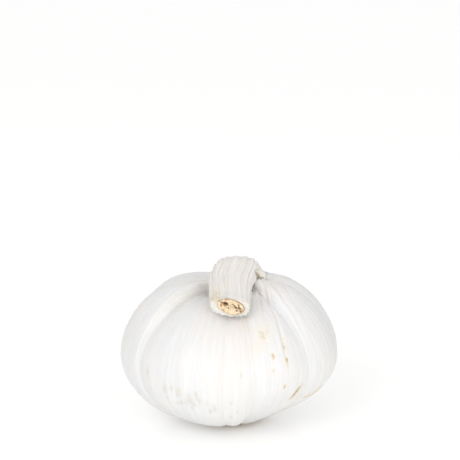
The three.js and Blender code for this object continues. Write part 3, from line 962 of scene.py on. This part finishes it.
def new_material(name):
    """An empty node material with its output and a Principled shader."""
    material = bpy.data.materials.new(name)
    material.use_nodes = True
    tree = material.node_tree
    tree.nodes.clear()
    output = tree.nodes.new("ShaderNodeOutputMaterial")
    shader = tree.nodes.new("ShaderNodeBsdfPrincipled")
    tree.links.new(shader.outputs["BSDF"], output.inputs["Surface"])
    return material, tree, shader


def set_input(tree, socket, value):
    """Links a node's input to another socket, or gives it a plain value."""
    if isinstance(value, bpy.types.NodeSocket):
        tree.links.new(value, socket)
    else:
        socket.default_value = value


def attribute(tree, name, output="Fac"):
    """One of a piece's marks or its grain, read by name."""
    node = tree.nodes.new("ShaderNodeAttribute")
    node.attribute_name = name
    return node.outputs[output]


def object_place(tree):
    """The place of a point on the object, in metres."""
    return tree.nodes.new("ShaderNodeTexCoord").outputs["Object"]


def mix_colours(tree, share, first, second):
    """Mixes two colours, each a socket or a plain colour, by a share, a socket or a number."""
    node = tree.nodes.new("ShaderNodeMix")
    node.data_type = "RGBA"
    inputs = {socket.identifier: socket for socket in node.inputs}
    set_input(tree, inputs["Factor_Float"], share)
    for name, colour in (("A_Color", first), ("B_Color", second)):
        set_input(tree, inputs[name], (*colour, 1) if isinstance(colour, tuple) else colour)
    return next(socket for socket in node.outputs if socket.identifier == "Result_Color")


def calculate(tree, operation, *values):
    """A Math node on sockets or numbers."""
    node = tree.nodes.new("ShaderNodeMath")
    node.operation = operation
    for index, value in enumerate(values):
        set_input(tree, node.inputs[index], value)
    return node.outputs[0]


def times(tree, first, second):
    """The product of two sockets, or of a socket and a number."""
    return calculate(tree, "MULTIPLY", first, second)


def remap(tree, value, from_low, from_high, to_low=0.0, to_high=1.0):
    """A value stretched from one range to another, and kept inside the second."""
    node = tree.nodes.new("ShaderNodeMapRange")
    ranges = {"From Min": from_low, "From Max": from_high, "To Min": to_low, "To Max": to_high}
    for name, number in {"Value": value, **ranges}.items():
        set_input(tree, node.inputs[name], number)
    return node.outputs["Result"]


def noise(tree, vector, scale, detail, rough=0.5, distort=0.0):
    """A Noise node's value at a place."""
    node = tree.nodes.new("ShaderNodeTexNoise")
    settings = {"Scale": scale, "Detail": detail, "Roughness": rough, "Distortion": distort}
    for name, number in {"Vector": vector, **settings}.items():
        set_input(tree, node.inputs[name], number)
    return node.outputs["Fac"]


def stretch(tree, vector, factors):
    """A place stretched by three factors."""
    node = tree.nodes.new("ShaderNodeMapping")
    set_input(tree, node.inputs["Vector"], vector)
    node.inputs["Scale"].default_value = factors
    return node.outputs["Vector"]


def add_bump(tree, shader, height, strength, depth):
    """Fine relief in the shader's normal, from a height and its depth in metres."""
    node = tree.nodes.new("ShaderNodeBump")
    node.inputs["Strength"].default_value = strength
    node.inputs["Distance"].default_value = depth
    tree.links.new(height, node.inputs["Height"])
    tree.links.new(node.outputs["Normal"], shader.inputs["Normal"])


def new_group(name, inputs, outputs):
    """An empty group of nodes with named inputs and outputs."""
    group = bpy.data.node_groups.new(name, "ShaderNodeTree")
    for socket, kind, default in inputs:
        made = group.interface.new_socket(name=socket, in_out="INPUT", socket_type=kind)
        if default is not None:
            made.default_value = default
    for socket in outputs:
        group.interface.new_socket(name=socket, in_out="OUTPUT", socket_type="NodeSocketFloat")
    given = group.nodes.new("NodeGroupInput").outputs
    return group, given, group.nodes.new("NodeGroupOutput").inputs


def place_group(tree, group, **values):
    """A group placed in a material, with its inputs set or linked."""
    node = tree.nodes.new("ShaderNodeGroup")
    node.node_tree = group
    for name, value in values.items():
        set_input(tree, node.inputs[name], value)
    return node.outputs


def make_long_grain():
    """Long fibres along the grain: a height for the bump and a mask for the colour."""
    inputs = [
        ("Place", "NodeSocketVector", None),
        ("Fibres", "NodeSocketFloat", 60.0),
        ("Length", "NodeSocketFloat", 3.0),
    ]
    group, given, result = new_group("long grain", inputs, ["Height", "Fibre"])
    combine = group.nodes.new("ShaderNodeCombineXYZ")
    for index, name in enumerate(("Fibres", "Fibres", "Length")):
        group.links.new(given[name], combine.inputs[index])
    scaled = group.nodes.new("ShaderNodeVectorMath")
    scaled.operation = "MULTIPLY"
    group.links.new(given["Place"], scaled.inputs[0])
    group.links.new(combine.outputs[0], scaled.inputs[1])
    fibres = noise(group, scaled.outputs[0], 1.0, 3.0, 0.55, 0.15)
    ridge = calculate(group, "ABSOLUTE", calculate(group, "SUBTRACT", fibres, 0.5))
    line = remap(group, ridge, 0.0, 0.09, 1.0, 0.0)
    height = calculate(group, "ADD", fibres, times(group, line, 0.6))
    group.links.new(height, result["Height"])
    group.links.new(line, result["Fibre"])
    return group


def make_broken_stain():
    """A mark broken up into blots and fine specks, for dry and scorched places."""
    inputs = [
        ("Mark", "NodeSocketFloat", 0.0),
        ("Place", "NodeSocketVector", None),
        ("Scale", "NodeSocketFloat", 1500.0),
    ]
    group, given, result = new_group("broken stain", inputs, ["Stain"])
    blots = noise(group, given["Place"], given["Scale"], 4.0, 0.65)
    broken = remap(group, blots, 0.3, 0.7, -0.5, 0.5)
    joined_marks = calculate(group, "ADD", given["Mark"], times(group, broken, 0.55))
    cut = remap(group, joined_marks, 0.05, 1.1)
    present = remap(group, given["Mark"], 0.0, 0.12)
    group.links.new(times(group, cut, present), result["Stain"])
    return group


# The skin's colours
PEARL = (0.815, 0.805, 0.79)
COOL_PEARL = (0.785, 0.79, 0.805)
BRIGHT_STRIPE = (0.865, 0.86, 0.85)
VEIN_SHADE = (0.74, 0.725, 0.7)
# Pink: the skin's own, and painted shade under the cut, in the creases and in the web
ROSE_TINT_AND_SHADE = (0.84, 0.775, 0.735)
NECK_CREAM = (0.94, 0.91, 0.85)
THREAD_BROWN = (0.6, 0.54, 0.48)
PLEAT_BROWN = (0.56, 0.49, 0.43)
# Grey of the bruises and of the painted shade in the valley
BRUISE_AND_VALLEY_SHADE_GREY = (0.6, 0.57, 0.49)
CUT_CREAM = (0.93, 0.86, 0.74)
DRY_TAN = (0.86, 0.77, 0.6)
DRY_BROWN = (0.5, 0.36, 0.19)
LOOSE_CREAM = (0.88, 0.83, 0.75)
LOOSE_THREAD = (0.74, 0.63, 0.48)
LOOSE_TAN = (0.62, 0.47, 0.31)

# The colours of the stalk and the roots
PITH_CREAM = (0.93, 0.83, 0.66)
PITH_ORANGE = (0.86, 0.67, 0.43)
CRUMB_BROWN = (0.5, 0.28, 0.11)
RIM_BROWN = (0.3, 0.14, 0.04)
# Dark brown painted in the pith's hollows as their shade
HOLLOW_SHADE_BROWN = (0.24, 0.12, 0.045)
CORK_TAN = (0.62, 0.48, 0.31)
CORK_BROWN = (0.36, 0.24, 0.13)
EARTH_BROWN = (0.2, 0.13, 0.075)
ROOT_TIP = (0.72, 0.58, 0.4)

STAIN_SCALE = 1300.0


def make_skin_material(long_grain, broken_stain):
    """Dry garlic skin: near white and satin, veined, tan where it has dried out."""
    material, tree, shader = new_material("papery garlic skin")
    grain, place = attribute(tree, "grain", "Vector"), object_place(tree)
    names = ("tan", "rose_and_shade", "neck", "cut", "bruise_and_valley_shade")
    tan, rose_and_shade, neck, cut, bruise_and_valley_shade = (attribute(tree, name) for name in names)
    pleats = place_group(tree, long_grain, Place=grain, Fibres=5.0, Length=1.6)
    stripes = place_group(tree, long_grain, Place=grain, Fibres=13.0, Length=1.3)
    veining = place_group(tree, long_grain, Place=grain, Fibres=30.0, Length=2.6)
    threads = place_group(tree, long_grain, Place=grain, Fibres=85.0, Length=6.0)
    stain = place_group(tree, broken_stain, Mark=tan, Place=place, Scale=STAIN_SCALE)["Stain"]
    grey = place_group(tree, broken_stain, Mark=bruise_and_valley_shade, Place=place, Scale=1500.0)["Stain"]

    patches = noise(tree, stretch(tree, grain, (3.0, 3.0, 2.0)), 1.0, 3.0)
    dry = mix_colours(tree, remap(tree, stain, 0.3, 0.9), DRY_TAN, DRY_BROWN)
    layers = [
        (remap(tree, stripes["Height"], 0.45, 1.0, 0.0, 0.35), BRIGHT_STRIPE),
        (times(tree, veining["Fibre"], 0.28), VEIN_SHADE),
        # Pink: the skin's own on the front and the neck, and painted shade under the cut, in the
        # creases and in the web
        (times(tree, rose_and_shade, remap(tree, stripes["Height"], 0.4, 0.9, 0.75, 0.3)), ROSE_TINT_AND_SHADE),
        (times(tree, neck, 0.5), NECK_CREAM),
        (times(tree, threads["Fibre"], remap(tree, neck, 0, 1, 0.12, 0.17)), THREAD_BROWN),
        (times(tree, pleats["Fibre"], times(tree, neck, 0.16)), PLEAT_BROWN),
        # Grey bruises, and painted shade in the valley by the neck's foot
        (times(tree, grey, 0.6), BRUISE_AND_VALLEY_SHADE_GREY),
        (times(tree, cut, 0.35), CUT_CREAM),
        (stain, dry),
    ]
    colour = mix_colours(tree, remap(tree, patches, 0.35, 0.65), PEARL, COOL_PEARL)
    for share, layer in layers:
        colour = mix_colours(tree, share, colour, layer)
    tree.links.new(colour, shader.inputs["Base Color"])
    tree.links.new(remap(tree, patches, 0.3, 0.7, 0.36, 0.5), shader.inputs["Roughness"])

    crumple = noise(tree, place, 420.0, 4.0, 0.6)
    height = times(tree, veining["Height"], 0.9)
    for finer, share in ((threads["Height"], 0.45), (crumple, 0.35)):
        height = calculate(tree, "ADD", height, times(tree, finer, share))
    add_bump(tree, shader, height, 0.5, 0.00012)
    shader.inputs["Subsurface Weight"].default_value = 0.4
    shader.inputs["Subsurface Radius"].default_value = (1.0, 0.85, 0.7)
    shader.inputs["Subsurface Scale"].default_value = 0.003
    shader.inputs["Specular IOR Level"].default_value = 0.45
    return material


def make_torn_skin_material(long_grain, broken_stain):
    """Loose bits of skin: thin and creamy, and dry tan towards their torn edges."""
    material, tree, shader = new_material("loose torn skin")
    grain, place, tan = attribute(tree, "grain", "Vector"), object_place(tree), attribute(tree, "tan")
    threads = place_group(tree, long_grain, Place=grain, Fibres=85.0, Length=6.0)
    stain = place_group(tree, broken_stain, Mark=tan, Place=place, Scale=STAIN_SCALE)["Stain"]
    cream = mix_colours(tree, times(tree, threads["Fibre"], 0.3), LOOSE_CREAM, LOOSE_THREAD)
    tree.links.new(mix_colours(tree, stain, cream, LOOSE_TAN), shader.inputs["Base Color"])
    shader.inputs["Roughness"].default_value = 0.55
    return material


def make_stalk_material(broken_stain):
    """The dry stalk: orange-tan spongy pith, brown at its rim, and dark brown painted shade in its
    hollows.
    """
    material, tree, shader = new_material("dry stalk pith")
    place = object_place(tree)
    hollow, rim, pores = (attribute(tree, name) for name in ("hollow", "rim", "sponge"))
    sponge = noise(tree, place, 2600.0, 5.0, 0.7)
    brown = place_group(tree, broken_stain, Mark=pores, Place=place, Scale=2200.0)["Stain"]
    edge = place_group(tree, broken_stain, Mark=rim, Place=place, Scale=1800.0)["Stain"]
    pith = mix_colours(tree, remap(tree, sponge, 0.4, 0.62), PITH_CREAM, PITH_ORANGE)
    pith = mix_colours(tree, times(tree, brown, 0.9), pith, CRUMB_BROWN)
    pith = mix_colours(tree, times(tree, edge, 0.85), pith, RIM_BROWN)
    # Painted shade in the hollows
    tree.links.new(mix_colours(tree, hollow, pith, HOLLOW_SHADE_BROWN), shader.inputs["Base Color"])
    tree.links.new(remap(tree, sponge, 0.3, 0.7, 0.7, 0.95), shader.inputs["Roughness"])
    add_bump(tree, shader, sponge, 0.7, 0.0002)
    return material


def make_root_material(broken_stain):
    """Dry roots and cork: dusty tan with blots of earthy brown, and paler tan at the cut tips."""
    material, tree, shader = new_material("dry root cork")
    place = object_place(tree)
    tip = remap(tree, attribute(tree, "tip"), 0.7, 1.0, 0, 0.5)
    dust = noise(tree, place, 900.0, 5.0, 0.65)
    earth = place_group(tree, broken_stain, Mark=0.45, Place=place, Scale=520.0)["Stain"]
    cork = mix_colours(tree, remap(tree, dust, 0.35, 0.68), CORK_TAN, CORK_BROWN)
    cork = mix_colours(tree, earth, cork, EARTH_BROWN)
    tree.links.new(mix_colours(tree, tip, cork, ROOT_TIP), shader.inputs["Base Color"])
    tree.links.new(remap(tree, dust, 0.3, 0.7, 0.75, 0.95), shader.inputs["Roughness"])
    add_bump(tree, shader, dust, 0.8, 0.0003)
    return material


# The stage: a pale floor, soft light and the camera, in metres

CAMERA_HEIGHT_ANGLE = math.radians(17)
CAMERA_TILT_UP = math.radians(3.37)
CAMERA_DISTANCE = 0.56
CAMERA_TARGET_HEIGHT = 0.02
CAMERA_LENS = 157.8
CAMERA_SENSOR = 36.0

FLOOR_HALF = 3.0
FLOOR_COLOUR = (0.93, 0.93, 0.92, 1)
FLOOR_ROUGHNESS = 0.12
FLOOR_GLOW = 0.16

WHITE = (1, 1, 1, 1)
DAYLIGHT = 0.84

# The soft lights: name, place, side in m and power in W
SOFT_LIGHTS = [
    ("front_left_softbox", (-0.5, -0.9, 0.6), 0.6, 3.2),
    ("low_front_softbox", (0.36, -0.93, 0.16), 0.5, 2.8),
]
LIGHT_AIM = (0, 0, 0.02)


def add_camera():
    """The camera looks a little down on the bulb, which stands low in the picture."""
    data = bpy.data.cameras.new("camera")
    data.lens = CAMERA_LENS
    data.sensor_width = CAMERA_SENSOR
    camera = bpy.data.objects.new("camera", data)
    bpy.context.scene.collection.objects.link(camera)
    back = CAMERA_DISTANCE * math.cos(CAMERA_HEIGHT_ANGLE)
    rise = CAMERA_DISTANCE * math.sin(CAMERA_HEIGHT_ANGLE)
    camera.location = (0, -back, CAMERA_TARGET_HEIGHT + rise)
    camera.rotation_euler = (math.pi / 2 - CAMERA_HEIGHT_ANGLE + CAMERA_TILT_UP, 0, 0)
    bpy.context.scene.camera = camera


def add_floor():
    """A wide pale table top with a faint sheen and a faint glow of its own."""
    half = FLOOR_HALF
    corners = [(-half, -half, 0), (half, -half, 0), (half, half, 0), (-half, half, 0)]
    mesh = bpy.data.meshes.new("pale_floor")
    mesh.from_pydata(corners, [], [(0, 1, 2, 3)])
    floor = bpy.data.objects.new("pale_floor", mesh)
    bpy.context.scene.collection.objects.link(floor)
    material, _, shader = new_material("pale table top")
    shader.inputs["Base Color"].default_value = FLOOR_COLOUR
    shader.inputs["Roughness"].default_value = FLOOR_ROUGHNESS
    shader.inputs["Emission Color"].default_value = WHITE
    shader.inputs["Emission Strength"].default_value = FLOOR_GLOW
    mesh.materials.append(material)


def add_soft_light(name, place, size, power):
    """A square soft light that faces the bulb."""
    data = bpy.data.lights.new(name, "AREA")
    data.shape = "SQUARE"
    data.size = size
    data.energy = power
    light = bpy.data.objects.new(name, data)
    bpy.context.scene.collection.objects.link(light)
    light.location = place
    light.rotation_euler = (Vector(place) - Vector(LIGHT_AIM)).to_track_quat("Z", "Y").to_euler()


def add_lights():
    """Even white daylight all round, with soft lights at the front left and low in front."""
    world = bpy.data.worlds.new("white studio")
    bpy.context.scene.world = world
    world.use_nodes = True
    backdrop = world.node_tree.nodes["Background"]
    backdrop.inputs["Color"].default_value = WHITE
    backdrop.inputs["Strength"].default_value = DAYLIGHT
    for facts in SOFT_LIGHTS:
        add_soft_light(*facts)
    bpy.context.scene.view_settings.view_transform = "Standard"


add_camera()
add_floor()
add_lights()

long_grain = make_long_grain()
broken_stain = make_broken_stain()
make_bulb_skin(make_skin_material(long_grain, broken_stain))
torn_skin_material = make_torn_skin_material(long_grain, broken_stain)
make_slivers("torn_flaps", TORN_FLAPS, FLAP_TAN, torn_skin_material)
make_frayed_skin(torn_skin_material)
make_stalk(make_stalk_material(broken_stain))
root_material = make_root_material(broken_stain)
make_root_plate(root_material)
make_roots(root_material)
